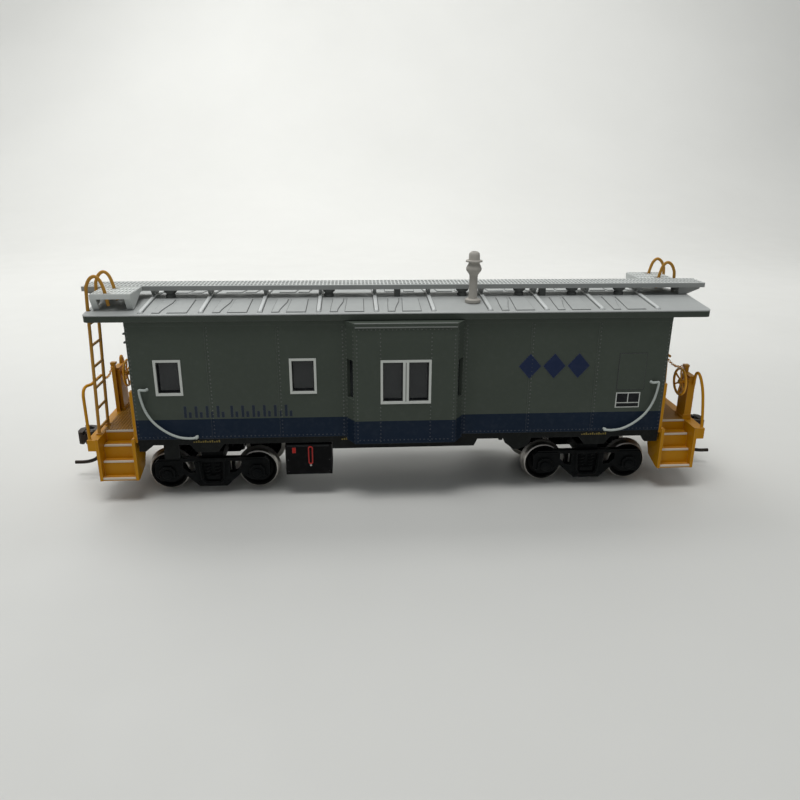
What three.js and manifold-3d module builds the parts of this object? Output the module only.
// Bay-window caboose, HO scale (1:87), millimetres.
// +X runs along the car, +Y across it, +Z up. The origin is on the floor under
// the middle of the car and Z = 0 touches the wheel flanges. The car looks the
// same after half a turn about Z, so both ends come from the same functions.

import * as THREE from "three";
import { mergeVertices } from "three/addons/utils/BufferGeometryUtils.js";
import Module from "manifold-3d";

const wasm = await Module();
wasm.setup();

// ---------------------------------------------------------------- dimensions
const TOUCH = 0.03; // running clearance where two faces only meet
const GAP = 0.3; // clearance around anything that turns

const BODY = { halfLength: 68.6, halfWidth: 15.9, bottom: 17.3, top: 48.35, wall: 1.2 };
const DOOR = { halfWidth: 4.6, top: 41, raise: 0.25 };
const DOOR_PANE = { halfWidth: 2, bottom: 29.5, top: 36.5, recess: 0.8 };
const BAY = { base: 15.15, front: 12.85, reach: 19.6, bottom: 16.5, top: 48.2, cap: 0.15, capHeight: 0.9 };
const CHEEK_WINDOW = { width: 2.8, height: 10.3, centre: 33.45 };
const ROOF = {
  halfLength: 78, halfWidth: 17, eave: 50.15, ridge: 51.65, corner: 1.4,
  ribWidth: 0.9, ribHeight: 0.45, ribReach: 15.3, notch: 77, notchHalf: 0.65,
};
const RIBS = [7.15, 21.45, 35.75, 50.05, 64.5];
const BOARD = { halfLength: 82, halfWidth: 3.5, top: 54.6, thickness: 1.1 };
const LATERAL = { inner: 66.8, outer: 76.5, reach: 14.2, foot: 12.6, slot: [71.7, 73.6], slotHalf: 0.65 };
const JACK = { x: 18, y: -8.3, flange: 2 };
const WINDOW = { bottom: 29.15, top: 38.55, halfWidth: 3.4, rim: 0.62 };
const WINDOW_CENTRES = [-59.35, -25.85];
const BAY_WINDOW = { bottom: 27.3, top: 38.85, halfWidth: 6.4, mullion: 1.5 };
const FRAME_PROUD = 0.15; // how far the window frames stand out
const GLAZING = { thickness: 0.6, margin: 1 };
const FLOOR = { bottom: 15.7, halfLength: 68.5, halfWidth: 15.85, sillInner: 14.6, lap: 0.3 };
const CENTRE_SILL = { halfLength: 69.1, halfWidth: 3.4, bottom: 13.2 };
const BOX = { left: -31.3, right: -19.1, bottom: 6.4, top: 14.9, front: 15.4, back: 7 };
const TRUCK = { centre: 51.1, halfBase: 11.85, top: 12.3, bowl: 4, screw: 0.9 };
const TRUCK_SIDE = { inner: 10.6, outer: 12.4 };
const WHEEL = { flange: 5.85, tread: 5.25, back: 7.2, face: 10, bore: 1 };
const JOURNAL = { radius: 0.45, reach: 12, hole: 0.8 };
const DECK = { top: 17.8, bottom: 16.1, halfWidth: 10.2, beamInner: 78.9, beamOuter: 81, beamBottom: 14.8 };
const STEP = {
  inner: 69.2, outer: 79, plate: 0.7, front: 16.8, bottom: 6.3, tread: 0.75,
  backTop: 5.9, backFoot: 10.2, heel: 7.8, toe: 15.6,
};
const FLANGE = { inner: 14.2, bottom: 16.5, top: 30.3 };
const TREADS = [[16.7, 7.1], [14.9, 11.1], [13, 14.9], [10.2, 17.8]]; // nose |Y|, top Z
const LADDER = { near: 5.8, far: 12.8, foot: 79.1, lean: 0.044, stile: 0.35 };
const RUNGS = { count: 6, bottom: 19.3, pitch: 5.55 };
const PEDESTAL = { inner: 78, outer: 79.9, near: 5.4, far: 10.2, top: 30.3, postTop: 32.2 };
const RAIL = { corner: [80.4, 16.3], hoop: [80.4, 16.2], top: 31.6, radius: 0.38 };
const BRAKE = { y: 7.8, z: 28.2, radius: 3.6, plane: 76.7, spokes: 6, rim: 0.34 };
const COUPLER = { pivot: 71.5, post: 0.8, centre: 12.7, halfHeight: 1.85, tip: 89, pin: 0.5, boxBack: 67.7 };
const HINGE = { x: 86.1, y: 1.55, pin: 0.4, lug: 0.7 };
const GRAB = { standOff: 0.95, radius: 0.31, ball: 0.5 };

// ------------------------------------------------------------------- helpers
function asSolid(geometry) {
  const bare = geometry.clone();
  bare.deleteAttribute("normal");
  bare.deleteAttribute("uv");
  const merged = mergeVertices(bare, 1e-5);
  return new wasm.Manifold(new wasm.Mesh({
    numProp: 3,
    vertProperties: new Float32Array(merged.attributes.position.array),
    triVerts: new Uint32Array(merged.index.array),
  }));
}

function asGeometry(solid) {
  const mesh = solid.getMesh();
  const geometry = new THREE.BufferGeometry();
  geometry.setAttribute("position", new THREE.BufferAttribute(new Float32Array(mesh.vertProperties), 3));
  geometry.setIndex(new THREE.BufferAttribute(new Uint32Array(mesh.triVerts), 1));
  geometry.computeVertexNormals();
  return geometry;
}

const join = (parts) => parts.reduce((whole, part) => whole.add(part));
const turned = (solid) => asSolid(asGeometry(solid).rotateZ(Math.PI));

// Mirror image across the car's middle, with the triangles turned outwards again.
function flipX(solid) {
  const geometry = asGeometry(solid).scale(-1, 1, 1);
  const index = geometry.index.array;
  for (let i = 0; i < index.length; i += 3) [index[i], index[i + 1]] = [index[i + 1], index[i]];
  return geometry;
}

function block(x0, x1, y0, y1, z0, z1) {
  const geometry = new THREE.BoxGeometry(x1 - x0, y1 - y0, z1 - z0);
  return asSolid(geometry.translate((x0 + x1) / 2, (y0 + y1) / 2, (z0 + z1) / 2));
}

function shapeOf(points) {
  return new THREE.Shape(points.map(([u, v]) => new THREE.Vector2(u, v)));
}

const AXES = {
  x: [new THREE.Vector3(0, 1, 0), new THREE.Vector3(0, 0, 1), new THREE.Vector3(1, 0, 0)],
  y: [new THREE.Vector3(0, 0, 1), new THREE.Vector3(1, 0, 0), new THREE.Vector3(0, 1, 0)],
  z: [new THREE.Vector3(1, 0, 0), new THREE.Vector3(0, 1, 0), new THREE.Vector3(0, 0, 1)],
};

// Prism of a plane outline from low to high along an axis. The outline is
// (Y, Z) along x, (Z, X) along y and (X, Y) along z.
function prism(axis, outline, low, high) {
  const shape = outline instanceof THREE.Shape ? outline : shapeOf(outline);
  const options = { depth: high - low, bevelEnabled: false, curveSegments: 6 };
  const geometry = new THREE.ExtrudeGeometry(shape, options).translate(0, 0, low);
  return asSolid(geometry.applyMatrix4(new THREE.Matrix4().makeBasis(...AXES[axis])));
}

const prismXZ = (outline, y0, y1) => prism("y", outline.map(([x, z]) => [z, x]), y0, y1);

// Round bar from low to high along an axis, centred on (u, v) as in prism.
function bar(axis, u, v, radius, low, high, sides = 16) {
  const geometry = new THREE.CylinderGeometry(radius, radius, high - low, sides);
  geometry.rotateX(Math.PI / 2).translate(u, v, (low + high) / 2);
  return asSolid(geometry.applyMatrix4(new THREE.Matrix4().makeBasis(...AXES[axis])));
}

function circle(radius, sides) {
  const shape = new THREE.Shape();
  for (let i = 0; i < sides; i += 1) {
    const angle = (i * 2 * Math.PI) / sides;
    const point = [radius * Math.cos(angle), radius * Math.sin(angle)];
    if (i === 0) shape.moveTo(...point);
    else shape.lineTo(...point);
  }
  return shape;
}

function rod(points, section, steps) {
  const stations = points.map((point) => new THREE.Vector3(...point));
  const path = new THREE.CatmullRomCurve3(stations, false, "centripetal");
  return asSolid(new THREE.ExtrudeGeometry(section, { steps, extrudePath: path, bevelEnabled: false }));
}

function lathe(profile, sides) {
  const points = profile.map(([radius, height]) => new THREE.Vector2(radius, height));
  return asSolid(new THREE.LatheGeometry(points, sides).rotateX(Math.PI / 2));
}

const roofHeight = (y) => ROOF.ridge - ((ROOF.ridge - ROOF.eave) * Math.abs(y)) / ROOF.halfWidth;

// ---------------------------------------------------------------- body shell
function bayOutline(inset) {
  const reach = BAY.reach - inset;
  const inside = BODY.halfWidth - BODY.wall - 1;
  const base = BAY.base - inset * 0.9;
  const front = BAY.front - inset * 0.55;
  return [[-base, inside], [base, inside], [base, BODY.halfWidth], [front, reach],
    [-front, reach], [-base, BODY.halfWidth]];
}

function bodyShell() {
  const { halfLength, halfWidth, bottom, top, wall } = BODY;
  let shell = block(-halfLength, halfLength, -halfWidth, halfWidth, bottom, top);
  const seat = FLOOR.halfWidth + TOUCH;
  const [insideX, insideY] = [halfLength - wall, halfWidth - wall];
  let hollow = block(-insideX, insideX, -insideY, insideY, bottom - 1, top + 1);
  hollow = hollow.add(block(-halfLength, halfLength, -seat, seat, bottom - 1, bottom));
  const bay = prism("z", bayOutline(0), BAY.bottom, BAY.top).add(bayCap());
  const bayHollow = prism("z", bayOutline(wall), BAY.bottom + wall, BAY.top - wall);
  const panel = doorPanel();
  for (const piece of [bay, turned(bay), panel, turned(panel)]) shell = shell.add(piece);
  shell = shell.subtract(hollow.add(bayHollow).add(turned(bayHollow)));
  for (const opening of sideOpenings()) shell = shell.subtract(opening).subtract(turned(opening));
  return shell;
}

// Plain band round the top of the bay, just under the roof edge.
function bayCap() {
  return prism("z", bayOutline(-BAY.cap), BAY.top - BAY.capHeight, BAY.top);
}

function doorPanel() {
  const face = BODY.halfLength + DOOR.raise;
  return block(BODY.halfLength - 0.3, face, -DOOR.halfWidth, DOOR.halfWidth, BODY.bottom, DOOR.top);
}

// Cuts for the windows of the +Y side and the blind pane of the +X end door.
function sideOpenings() {
  const inside = BODY.halfWidth - BODY.wall - GLAZING.thickness;
  const outside = BAY.reach + 1;
  const opening = (x, { halfWidth: half, bottom: low, top: high }) =>
    block(x - half, x + half, inside, outside, low, high);
  const cuts = WINDOW_CENTRES.map((centre) => opening(-centre, WINDOW));
  cuts.push(opening(0, BAY_WINDOW));
  const face = BODY.halfLength + DOOR.raise;
  const { halfWidth, bottom, top, recess } = DOOR_PANE;
  cuts.push(block(face - recess, face, -halfWidth, halfWidth, bottom, top));
  return cuts.concat([-1, 1].map(splayedOpening));
}

// Narrow look-out opening in one splayed cheek of the +Y bay.
function splayedOpening(end) {
  const { width, height, centre } = CHEEK_WINDOW;
  const angle = Math.atan2(BAY.reach - BODY.halfWidth, BAY.base - BAY.front);
  const geometry = new THREE.BoxGeometry(width, 6, height);
  geometry.rotateZ(-end * angle);
  geometry.translate((end * (BAY.base + BAY.front)) / 2, (BAY.reach + BODY.halfWidth) / 2, centre);
  return asSolid(geometry);
}

// --------------------------------------------------------------- roof pieces
function roof() {
  const { halfLength: l, halfWidth: w, corner: r, eave, ridge } = ROOF;
  const plan = new THREE.Shape();
  plan.moveTo(-l + r, -w);
  plan.lineTo(l - r, -w);
  plan.absarc(l - r, -w + r, r, -Math.PI / 2, 0);
  plan.lineTo(l, w - r);
  plan.absarc(l - r, w - r, r, 0, Math.PI / 2);
  plan.lineTo(-l + r, w);
  plan.absarc(-l + r, w - r, r, Math.PI / 2, Math.PI);
  plan.lineTo(-l, -w + r);
  plan.absarc(-l + r, -w + r, r, Math.PI, 1.5 * Math.PI);
  const sheet = prism("z", plan, BODY.top, ridge + 1);
  const profile = [[-w - 1, BODY.top - 1], [w + 1, BODY.top - 1], [w + 1, roofHeight(w + 1)],
    [0, ridge], [-w - 1, roofHeight(w + 1)]];
  let solid = sheet.intersect(prism("x", profile, -l - 1, l + 1));
  const reach = ROOF.ribReach;
  const rib = [[-reach, eave - 0.5], [reach, eave - 0.5], [reach, roofHeight(reach) + ROOF.ribHeight],
    [0, ridge + ROOF.ribHeight], [-reach, roofHeight(reach) + ROOF.ribHeight]];
  for (const x of RIBS.flatMap((value) => [-value, value])) {
    solid = solid.add(prism("x", rib, x - ROOF.ribWidth / 2, x + ROOF.ribWidth / 2));
  }
  for (const y of [LADDER.near, LADDER.far]) {
    const half = ROOF.notchHalf;
    const notch = block(ROOF.notch, l + 1, y - half, y + half, BODY.top - 1, ridge + 1);
    solid = solid.subtract(notch).subtract(turned(notch));
  }
  return solid;
}

function runningBoard() {
  const { halfLength, halfWidth, top, thickness } = BOARD;
  const under = top - thickness;
  let board = block(-halfLength, halfLength, -halfWidth, halfWidth, under, top);
  const ribTop = ROOF.ridge + ROOF.ribHeight;
  const saddle = [[-1.8, ribTop], [1.8, ribTop], [3, under + 0.1], [-3, under + 0.1]];
  for (const x of RIBS.flatMap((value) => [-value, value])) {
    board = board.add(prism("x", saddle, x - 0.4, x + 0.4));
  }
  const endSeat = roofHeight(2.3) + 0.1;
  const lap = under + 0.1;
  const gusset = [[75.4, endSeat], [77.6, endSeat], [81.1, under - 0.5], [81.1, lap], [75.4, lap]];
  for (const y of [-2.6, 2]) {
    const bracket = prismXZ(gusset.slice().reverse(), y, y + 0.6);
    board = board.add(bracket).add(turned(bracket));
  }
  return board;
}

// Side walkway at the +X end, over the +Y half of the roof, on two raked legs.
function lateralPlatform() {
  const { inner, outer, reach, foot, slot, slotHalf } = LATERAL;
  const top = BOARD.top;
  const under = top - BOARD.thickness;
  const lap = under + 0.1;
  const seat = roofHeight(foot - 1) + 0.05;
  let platform = block(inner, outer, BOARD.halfWidth, reach, under, top);
  const gusset = [[foot - 0.9, seat], [foot, seat], [reach, lap], [BOARD.halfWidth + 1.5, lap]];
  for (const x of [inner, outer - 0.6]) platform = platform.add(prism("x", gusset, x, x + 0.6));
  const leg = [[foot - 0.6, seat], [foot, seat], [reach, lap], [reach - 0.6, lap]];
  for (const x of [inner, outer - 1.5]) platform = platform.add(prism("x", leg, x, x + 1.5));
  for (const y of [LADDER.near, LADDER.far]) {
    platform = platform.subtract(block(slot[0], slot[1], y - slotHalf, y + slotHalf, under - 1, top + 1));
  }
  return platform;
}

function smokeJack() {
  const base = roofHeight(Math.abs(JACK.y) - JACK.flange) + TOUCH;
  const profile = [[0, base], [JACK.flange, base], [JACK.flange, base + 0.6], [1.1, base + 0.9],
    [1.1, 58.2], [1.95, 59], [1.95, 59.7], [1.35, 60.4], [1.35, 61.2], [2.15, 61.35], [2.15, 61.75],
    [1.35, 61.9], [1.35, 63.1], [0.9, 63.7], [0, 63.9]];
  return asSolid(asGeometry(lathe(profile, 14)).translate(JACK.x, JACK.y, 0));
}

// ------------------------------------------------------------ window inserts
// Window frame of the +Y side, with one pane or with two beside a mullion.
function sideFrame(centre, { halfWidth, bottom, top, rim = WINDOW.rim, mullion = 0 }, face) {
  const back = face - 0.9;
  const outer = halfWidth - TOUCH;
  let frame = block(centre - outer, centre + outer, back, face, bottom + TOUCH, top - TOUCH);
  const panes = mullion
    ? [[rim - halfWidth, -mullion / 2], [mullion / 2, halfWidth - rim]]
    : [[rim - halfWidth, halfWidth - rim]];
  for (const [left, right] of panes) {
    frame = frame.subtract(block(centre + left, centre + right, back - 1, face + 1, bottom + rim, top - rim));
  }
  return frame;
}

// One strip of glazing behind the two plain side windows of the +Y side.
function sideGlazing() {
  const { thickness, margin } = GLAZING;
  const back = BODY.halfWidth - BODY.wall;
  const reachX = Math.max(...WINDOW_CENTRES.map(Math.abs)) + WINDOW.halfWidth + margin;
  const nearX = Math.min(...WINDOW_CENTRES.map(Math.abs)) - WINDOW.halfWidth - margin;
  return block(nearX, reachX, back - thickness, back - TOUCH, WINDOW.bottom - margin, WINDOW.top + margin);
}

// Folded glazing inside the bay: a front pane and two splayed side panes.
function bayGlazing() {
  const { thickness, margin } = GLAZING;
  const outer = bayOutline(BODY.wall + TOUCH).slice(2);
  const inner = bayOutline(BODY.wall + thickness).slice(2);
  const floor = BODY.halfWidth - BODY.wall + GAP;
  const outline = outer.concat(inner.reverse()).map(([x, y]) => [x, Math.max(y, floor)]);
  return prism("z", outline, BAY_WINDOW.bottom - margin, BAY_WINDOW.top + margin);
}

// ---------------------------------------------------------------- underframe
// Outlines of the plates that hang from one floor edge, as (X, Z): battery and
// tank hangers, bolster ends and corner pads.
const LAP = FLOOR.bottom + FLOOR.lap;
const SILL_PLATES = [
  [[-19, LAP], [-19, 13.8], [18.5, 13.8], [19.6, LAP]],
  [[26.2, LAP], [26.9, 14.4], [29.2, 12.6], [30.4, 12.5], [32.4, 13.3], [33.6, 14.6], [34, LAP]],
  [[-55.7, LAP], [-54, 13.6], [-48.5, 13.6], [-46.6, LAP]],
  [[46.6, LAP], [48.5, 13.6], [54, 13.6], [55.7, LAP]],
  [[63.8, LAP], [65.1, 14], [68.5, 14], [68.5, LAP]],
  [[-68.5, LAP], [-68.5, 14], [-66.9, 14], [-64.4, LAP]],
  [[-62.3, LAP], [-62.3, 11.9], [-58.4, 11.9], [-58.4, LAP]],
];

function underframe() {
  const { bottom, halfLength, halfWidth, sillInner } = FLOOR;
  let frame = block(-halfLength, halfLength, -halfWidth, halfWidth, bottom, BODY.bottom);
  const { halfLength: sillX, halfWidth: sillY } = CENTRE_SILL;
  frame = frame.add(block(-sillX, sillX, -sillY, sillY, CENTRE_SILL.bottom, LAP));
  for (const outline of SILL_PLATES) {
    const plate = prismXZ(outline, -halfWidth, -sillInner);
    frame = frame.add(plate).add(turned(plate));
  }
  for (const end of [-1, 1]) {
    const x = end * TRUCK.centre;
    frame = frame.add(bar("z", x, 0, TRUCK.bowl, TRUCK.top + 0.15, LAP));
    frame = frame.subtract(bar("z", x, 0, TRUCK.screw + TOUCH, TRUCK.top - 1, 14.6));
  }
  const pocket = couplerPocket();
  return frame.add(pocket).add(turned(pocket));
}

// Draft-gear box under the +X deck, open at the front, with a pivot post.
function couplerPocket() {
  const low = COUPLER.centre - COUPLER.halfHeight;
  const high = COUPLER.centre + COUPLER.halfHeight;
  let pocket = block(COUPLER.boxBack, 77.4, -3.6, 3.6, low, high);
  const mouth = [[69, -2.2], [72.5, -2.9], [78, -2.9], [78, 2.9], [72.5, 2.9], [69, 2.2]];
  pocket = pocket.subtract(prism("z", mouth, low + 0.6, high - 0.6));
  return pocket.add(bar("z", COUPLER.pivot, 0, COUPLER.post, low, high));
}

function equipmentBox() {
  const { left, right, bottom, top, front, back } = BOX;
  let box = block(left, right, -front, -back, bottom, top);
  for (const x of [left + 2, right - 3.5]) {
    box = box.add(block(x, x + 1.5, -front + 1, -back - 1, top - 0.1, FLOOR.bottom));
  }
  const latch = block(left + 5.9, left + 7.3, -front - 0.35, -front + 0.1, 9.6, 14.4);
  const plate = block(left + 1.8, left + 2.8, -front - 0.25, -front + 0.1, 12.6, 14.2);
  return box.add(latch).add(plate);
}

// -------------------------------------------------------------- end castings
// Deck, end beam, both stairways and corner flanges of the +X end.
function endCasting() {
  const { top, bottom, halfWidth, beamInner, beamOuter, beamBottom } = DECK;
  const x0 = BODY.halfLength + 0.25 + TOUCH;
  let casting = block(x0, beamInner + 0.1, -halfWidth, halfWidth, bottom, top);
  casting = casting.add(block(beamInner, beamOuter, -STEP.front, STEP.front, beamBottom, top));
  for (const side of [-1, 1]) casting = casting.add(stairway(side));
  return casting;
}

function stairway(side) {
  const { inner, outer, plate, front, bottom, tread } = STEP;
  const lap = DECK.bottom + 0.4;
  const cheek = [[front, bottom], [front, DECK.top], [DECK.halfWidth - 0.4, DECK.top],
    [DECK.halfWidth - 0.4, lap], [STEP.backTop, lap], [STEP.backFoot, STEP.heel], [STEP.toe, bottom]];
  const outline = cheek.map(([y, z]) => [y * side, z]);
  if (side > 0) outline.reverse();
  let stairs = join([inner, outer - plate].map((x) => prism("x", outline, x, x + plate)));
  for (let i = 0; i < TREADS.length - 1; i += 1) {
    const [nose, height] = TREADS[i];
    const [nextNose, nextHeight] = TREADS[i + 1];
    const flat = [nose * side, (nextNose - 0.6) * side].sort((a, b) => a - b);
    const rise = [nextNose * side, (nextNose - 0.6) * side].sort((a, b) => a - b);
    stairs = stairs.add(block(inner + 0.3, outer - 0.3, ...flat, height - tread, height));
    stairs = stairs.add(block(inner + 0.3, outer - 0.3, ...rise, height - tread, nextHeight));
  }
  const flange = [FLANGE.inner * side, BODY.halfWidth * side].sort((a, b) => a - b);
  return stairs.add(block(BODY.halfLength + TOUCH, inner + 0.2, ...flange, FLANGE.bottom, FLANGE.top));
}

const ladderX = (z) => LADDER.foot - (z - DECK.top) * LADDER.lean;

// Roof ladder of the +X end: two stiles that pass the roof in notches and hook over it, and rungs.
function ladder() {
  const half = LADDER.stile;
  const section = shapeOf([[-half, -half], [half, -half], [half, half], [-half, half]]);
  const foot = DECK.top + TOUCH;
  const stile = (y) => rod([[ladderX(foot), y, foot], [ladderX(36), y, 36], [ladderX(54.5), y, 54.5],
    [77.1, y, 56.8], [76.2, y, 58.3], [75, y, 58.8], [73.9, y, 57.8], [73.2, y, 55.6],
    [72.9, y, 53.6], [72.6, y, 51.6]], section, 20);
  let whole = join([LADDER.near, LADDER.far].map(stile));
  for (let i = 0; i < RUNGS.count; i += 1) {
    const z = RUNGS.bottom + i * RUNGS.pitch;
    const x = ladderX(z);
    whole = whole.add(block(x - 0.3, x + 0.3, LADDER.near, LADDER.far, z - 0.3, z + 0.3));
  }
  return whole;
}

const wire = circle(RAIL.radius, 6);

// Corner handrail beside the ladder of the +X end.
function cornerRail() {
  const [x, y] = RAIL.corner;
  const high = RAIL.top;
  const rail = ladderX(high) + LADDER.stile + RAIL.radius + 0.05;
  return rod([[x, y, DECK.top + TOUCH], [x, y, 23], [x, y, 29], [x - 0.05, y - 0.3, 30.8],
    [x - 0.3, y - 1.3, high], [x - 0.8, y - 2.6, high], [rail, LADDER.far, high], [rail, 9.4, high],
    [rail, LADDER.near - 0.4, high]], wire, 18);
}

// Hooped handrail beside the brake pedestal of the +X end.
function hoopRail() {
  const [x, y] = RAIL.hoop;
  return rod([[x, -y, DECK.top + TOUCH], [x - 0.1, -15.5, 22.5], [x - 0.4, -14.7, 27.3],
    [x - 0.8, -13.7, 30.4], [x - 1, -12.4, 31.8], [x - 1.1, -11.3, 31.6], [x - 1.1, -10.8, 30.2],
    [x - 1.1, -10.7, 28]], wire, 16);
}

function pedestal() {
  const { inner, outer, near, far, top, postTop } = PEDESTAL;
  let body = block(inner, outer, -far, -near, DECK.top, top - 0.6);
  body = body.add(block(inner + 0.25, outer, -far + 0.25, -near, top - 0.7, top));
  body = body.add(block(inner - 0.25, outer + 0.2, -far, -near + 0.2, DECK.top, DECK.top + 0.8));
  body = body.add(block(outer - 1, outer, -near - 0.1, -near + 1.1, DECK.top, postTop));
  return body.add(block(outer - 1.3, outer + 0.1, -near - 0.2, -near + 1.2, postTop - 0.6, postTop));
}

function brakeWheel() {
  const { y, z, radius, plane, spokes, rim: thick } = BRAKE;
  const turnToX = new THREE.Matrix4().makeBasis(...AXES.x);
  const rim = new THREE.TorusGeometry(radius, thick, 5, 20).applyMatrix4(turnToX).translate(plane, 0, 0);
  let wheel = asSolid(rim).add(bar("x", 0, 0, 0.75, plane - 0.45, PEDESTAL.inner - TOUCH, 10));
  for (let i = 0; i < spokes; i += 1) {
    const spoke = new THREE.BoxGeometry(0.4, 0.45, radius);
    spoke.translate(0, 0, radius / 2).rotateX((i * 2 * Math.PI) / spokes).translate(plane, 0, 0);
    wheel = wheel.add(asSolid(spoke));
  }
  return asSolid(asGeometry(wheel).translate(0, -y, z));
}

// Sagging safety chain between the pedestal post and the ladder.
function chain() {
  const eye = 0.4; // how far the end links reach past their span
  const start = new THREE.Vector3(PEDESTAL.outer - 0.5, -PEDESTAL.near + 1.2 + eye, 31.4);
  const end = new THREE.Vector3(ladderX(31), LADDER.near - 0.35 - eye, 31);
  const links = 7;
  const sag = 1.1;
  const span = end.clone().sub(start);
  const length = span.length() / links;
  const parts = [];
  for (let i = 0; i < links; i += 1) {
    const t = (i + 0.5) / links;
    const link = new THREE.TorusGeometry(0.36, 0.15, 4, 6).scale((length + 0.14) / 0.72, 1, 1);
    link.rotateX(i % 2 ? 0 : Math.PI / 2).rotateZ(Math.atan2(span.y, span.x));
    const place = start.clone().addScaledVector(span, t);
    link.translate(place.x, place.y, place.z - 4 * sag * t * (1 - t));
    parts.push(asSolid(link));
  }
  return join(parts);
}

// Bent grab iron on the +Y side next to the +X corner.
function grabIron() {
  const wall = BODY.halfWidth + TOUCH;
  const off = BODY.halfWidth + GRAB.standOff;
  const route = [[64.85, wall, 30.9], [65.1, off - 0.15, 30.95], [65.7, off, 31.05], [66.55, off, 30.9],
    [66.3, off, 28.4], [65.5, off, 25.3], [64.1, off, 22.8], [62.3, off, 20.8], [60.1, off, 19.2],
    [57.8, off, 18.25], [55.3, off, 17.85], [53.7, off - 0.1, 18], [53.4, wall, 18.1]];
  const iron = rod(route, circle(GRAB.radius, 6), 20);
  const foot = new THREE.SphereGeometry(GRAB.ball, 8, 5).translate(53.5, off - 0.1, 17.9);
  return iron.add(asSolid(foot));
}

// -------------------------------------------------------------------- trucks
const SIDE_HALF = [[0, 10.2], [13.9, 10.2], [15.1, 9], [15.1, 5.2], [13.7, 3.8], [10.2, 3.8], [8.6, 4.9],
  [7.6, 5.9], [3.6, 2.1], [0, 2.1]];
const CENTRE_WINDOW = [[-2.9, 9.2], [-2.5, 4.2], [-1.9, 3.4], [1.9, 3.4], [2.5, 4.2], [2.9, 9.2]];
const ARM_WINDOW = [[4.5, 9.3], [4.5, 5.9], [6.2, 6.1], [7.7, 7.6], [7.7, 9.3]];
const HOOD = { halfWidth: 1.9, low: 5, shoulder: 7, high: 8, proud: 0.35 };
const BOSS = { radius: 1.3, proud: 0.5 };

const BOLSTER = { bottom: 8.8, top: 11.6 };

const mirrorX = (points) => points.map(([x, z]) => [-x, z]).reverse();

function truckFrame() {
  const { radius, reach, hole } = JOURNAL;
  const { inner, outer } = TRUCK_SIDE;
  const outline = SIDE_HALF.concat(mirrorX(SIDE_HALF).slice(1, -1));
  let side = prismXZ(outline, inner, outer);
  side = side.subtract(prismXZ(CENTRE_WINDOW, inner - 1, outer + 1));
  for (const window of [ARM_WINDOW, mirrorX(ARM_WINDOW)]) {
    side = side.subtract(prismXZ(window, inner - 1, outer + 1));
  }
  side = side.add(block(-3.2, 3.2, inner, outer - 1, 3, 9.6));
  side = side.add(block(-1.7, 1.7, inner, outer - 0.4, 4, 5));
  for (const x of [-TRUCK.halfBase, TRUCK.halfBase]) {
    const { halfWidth, low, shoulder, high, proud } = HOOD;
    const hood = [[x - halfWidth, low], [x + halfWidth, low], [x + halfWidth, shoulder],
      [x + halfWidth / 2, high], [x - halfWidth / 2, high], [x - halfWidth, shoulder]];
    side = side.add(prismXZ(hood, inner + 0.3, outer + proud));
    side = side.add(bar("y", WHEEL.flange, x, BOSS.radius, inner + 0.2, outer + BOSS.proud, 12));
    side = side.subtract(bar("y", WHEEL.flange, x, hole, inner - 1, reach + radius * 0.5, 12));
  }
  const bolster = block(-2.9, 2.9, -inner - 0.5, inner + 0.5, BOLSTER.bottom, BOLSTER.top);
  const bowl = bar("z", 0, 0, TRUCK.bowl, BOLSTER.bottom, TRUCK.top);
  let frame = side.add(turned(side)).add(bolster).add(bowl);
  frame = frame.subtract(bar("z", 0, 0, TRUCK.screw + GAP, 7, TRUCK.top + 1));
  return frame;
}

function axle() {
  const { radius, reach } = JOURNAL;
  const shoulder = WHEEL.face + 0.1;
  const profile = [[0, -reach], [radius, -reach], [radius, -shoulder - 0.2], [WHEEL.bore, -shoulder],
    [WHEEL.bore, shoulder], [radius, shoulder + 0.2], [radius, reach], [0, reach]];
  return asGeometry(lathe(profile, 12)).rotateX(-Math.PI / 2);
}

// Wheel with its axis on Y: flange inboard, dished face outboard.
function wheel() {
  const { flange, tread, back, face, bore } = WHEEL;
  const hole = bore + TOUCH;
  const profile = [[hole, back], [flange - 0.25, back], [flange, back + 0.3], [tread + 0.15, back + 0.75],
    [tread, face], [tread - 0.8, face], [3.6, face - 0.7], [2, face - 0.7], [1.8, face], [hole, face],
    [hole, back]];
  return asGeometry(lathe(profile, 16)).rotateX(-Math.PI / 2);
}

function truckScrew() {
  const top = BOLSTER.bottom - TOUCH;
  return lathe([[0, top - 0.9], [1.6, top - 0.9], [2.2, top - 0.4], [2.2, top], [TRUCK.screw, top],
    [TRUCK.screw, 14.4], [0, 14.4]], 14);
}

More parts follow.
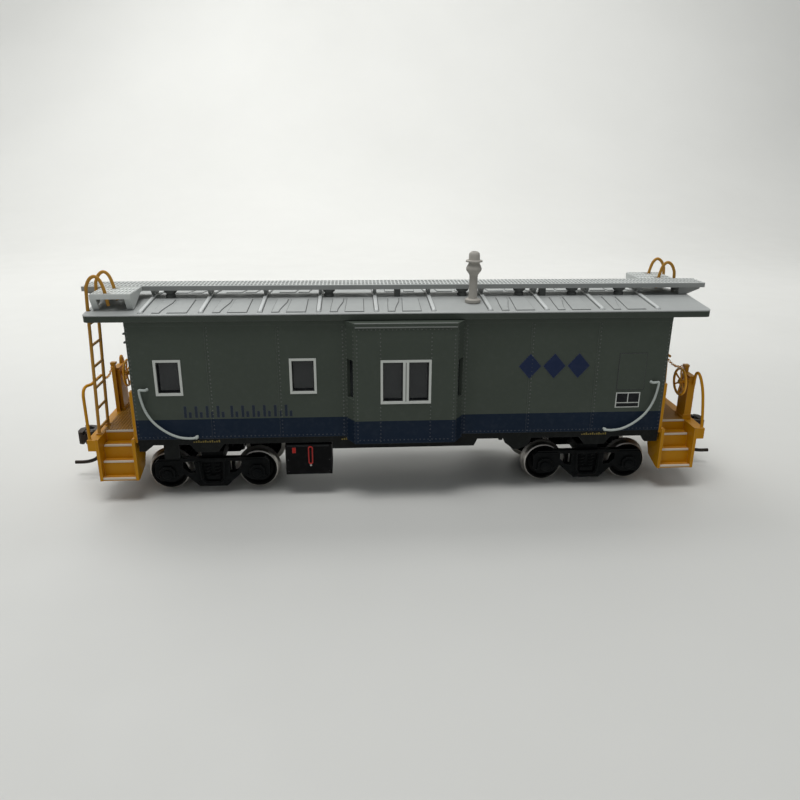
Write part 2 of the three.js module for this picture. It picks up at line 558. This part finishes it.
// ------------------------------------------------------------------ couplers
// Shank and head of the +X end, with a forked hinge for the knuckle.
function couplerHead() {
  const { pivot, post, centre, halfHeight } = COUPLER;
  const low = centre - halfHeight;
  const high = centre + halfHeight;
  const shankHalf = 0.9;
  let head = block(pivot, 83.9, -1, 1, centre - shankHalf, centre + shankHalf);
  head = head.add(bar("z", pivot, 0, 1.9, centre - shankHalf, centre + shankHalf));
  head = head.subtract(bar("z", pivot, 0, post + GAP, low, high));
  const guard = [[83.3, -1.6], [85, -2.4], [88, -3], [88.4, -2.4], [86.2, -1.5], [85, -0.4],
    [84.9, 2.6], [83.3, 1.8]];
  head = head.add(prism("z", guard, low, high));
  const lug = [[84.8, 0.2], [87, 0.9], [87, 2.3], [86, 2.7], [84.8, 2.6]];
  for (const z of [low, high - HINGE.lug]) head = head.add(prism("z", lug, z, z + HINGE.lug));
  head = head.add(bar("z", HINGE.x, HINGE.y, HINGE.pin, low, high, 12));
  const tripPin = rod([[84.6, -0.6, low + 0.1], [84.6, -0.6, 8.4], [85.1, -0.6, 6.3], [86.6, -0.6, 4.8],
    [88.8, -0.6, 4.2], [91.8, -0.6, 4.2]], circle(COUPLER.pin, 6), 12);
  return head.add(tripPin);
}

function knuckle() {
  const { centre, halfHeight, tip } = COUPLER;
  const low = centre - halfHeight + HINGE.lug + GAP;
  const high = centre + halfHeight - HINGE.lug - GAP;
  const nose = [[87.4, -0.9], [88, -1.3], [88.6, -1.1], [tip, -0.6], [tip, 1.5], [88.7, 2.3], [88, 2.7]];
  const tongue = [[85.5, 0.75], [86.9, 0.6], [87.4, 0.2], ...nose, [86.6, 2.75], [85.5, 2.4]];
  const jaw = [[87.4, 0.2], ...nose, [87.4, 2.7]];
  const thick = prism("z", jaw, centre - halfHeight + 0.1, centre + halfHeight - 0.1);
  const pinHole = bar("z", HINGE.x, HINGE.y, HINGE.pin + GAP, low - 1, high + 1, 12);
  return prism("z", tongue, low, high).add(thick).subtract(pinHole);
}

// ------------------------------------------------------------------ assembly
const PAINT = {
  bodyGreen: [0x565c52, 0.6, 0], roofSilver: [0x9aa09c, 0.5, 0.3], boardSilver: [0xa7aaa6, 0.45, 0.35],
  frameBlack: [0x23241f, 0.7, 0], boxBlack: [0x2b2a27, 0.65, 0], steel: [0x8a8d90, 0.4, 0.9],
  frameWhite: [0xd9dcd6, 0.55, 0], glass: [0x5a5f60, 0.15, 0], yellow: [0xc48a1c, 0.5, 0],
  ladderYellow: [0xa87b2e, 0.55, 0], grabWhite: [0xd6dad2, 0.5, 0], jackGrey: [0x8d8881, 0.6, 0],
  truckBlack: [0x1d1c1b, 0.65, 0], wheelMetal: [0x77706a, 0.35, 0.9], axleBlack: [0x2a2826, 0.6, 0],
  couplerBrown: [0x2c2623, 0.55, 0.4], screwSteel: [0x6f6d6a, 0.4, 0.9],
};

const caboose = new THREE.Group();

function place(parent, name, shape, paint) {
  const [color, roughness, metalness] = PAINT[paint];
  const geometry = shape.isBufferGeometry ? shape : asGeometry(shape);
  const mesh = new THREE.Mesh(geometry, new THREE.MeshStandardMaterial({ color, roughness, metalness }));
  mesh.name = name;
  parent.add(mesh);
  return mesh;
}

place(caboose, "body_shell", bodyShell(), "bodyGreen");
place(caboose, "roof", roof(), "roofSilver");
place(caboose, "running_board", runningBoard(), "boardSilver");
place(caboose, "smoke_jack", smokeJack(), "jackGrey");
place(caboose, "underframe", underframe(), "frameBlack");
place(caboose, "weight_plate", block(-60, 60, -12, 12, BODY.bottom, BODY.bottom + 1.6), "steel");

// Pieces made for the +X end or the +Y side are turned half round for the other.
for (const [letter, angle] of [["a", Math.PI], ["b", 0]]) {
  const end = new THREE.Group();
  end.rotation.z = angle;
  caboose.add(end);
  place(end, `lateral_platform_${letter}`, lateralPlatform(), "boardSilver");
  place(end, `end_platform_${letter}`, endCasting(), "yellow");
  place(end, `ladder_${letter}`, ladder(), "ladderYellow");
  place(end, `corner_rail_${letter}`, cornerRail(), "yellow");
  place(end, `hoop_rail_${letter}`, hoopRail(), "yellow");
  place(end, `brake_pedestal_${letter}`, pedestal(), "yellow");
  place(end, `brake_wheel_${letter}`, brakeWheel(), "yellow");
  place(end, `safety_chain_${letter}`, chain(), "yellow");
  place(end, `coupler_${letter}`, couplerHead(), "couplerBrown");
  place(end, `knuckle_${letter}`, knuckle(), "couplerBrown");
  place(end, `truck_screw_${letter}`, asGeometry(truckScrew()), "screwSteel").position.x = TRUCK.centre;

  const truck = new THREE.Group();
  truck.position.x = TRUCK.centre;
  end.add(truck);
  place(truck, `truck_frame_${letter}`, truckFrame(), "truckBlack");
  for (const [number, x] of [[1, -TRUCK.halfBase], [2, TRUCK.halfBase]]) {
    const set = new THREE.Group();
    set.position.set(x, 0, WHEEL.flange);
    truck.add(set);
    place(set, `axle_${letter}${number}`, axle(), "axleBlack");
    place(set, `wheel_${letter}${number}_left`, wheel(), "wheelMetal");
    place(set, `wheel_${letter}${number}_right`, wheel(), "wheelMetal").rotation.z = Math.PI;
  }
}

for (const [name, angle] of [["near", Math.PI], ["far", 0]]) {
  const side = new THREE.Group();
  side.rotation.z = angle;
  caboose.add(side);
  WINDOW_CENTRES.forEach((centre, index) => {
    const frame = sideFrame(-centre, WINDOW, BODY.halfWidth + FRAME_PROUD);
    place(side, `window_frame_${name}_${index + 1}`, frame, "frameWhite");
  });
  place(side, `bay_frame_${name}`, sideFrame(0, BAY_WINDOW, BAY.reach + FRAME_PROUD), "frameWhite");
  place(side, `side_glazing_${name}`, sideGlazing(), "glass");
  place(side, `bay_glazing_${name}`, bayGlazing(), "glass");
  place(side, `grab_iron_${name}_1`, grabIron(), "grabWhite");
  place(side, `grab_iron_${name}_2`, asSolid(flipX(grabIron())), "grabWhite");
}
for (const [name, angle] of [["near", 0], ["far", Math.PI]]) {
  place(caboose, `equipment_box_${name}`, equipmentBox(), "boxBlack").rotation.z = angle;
}

export default caboose;
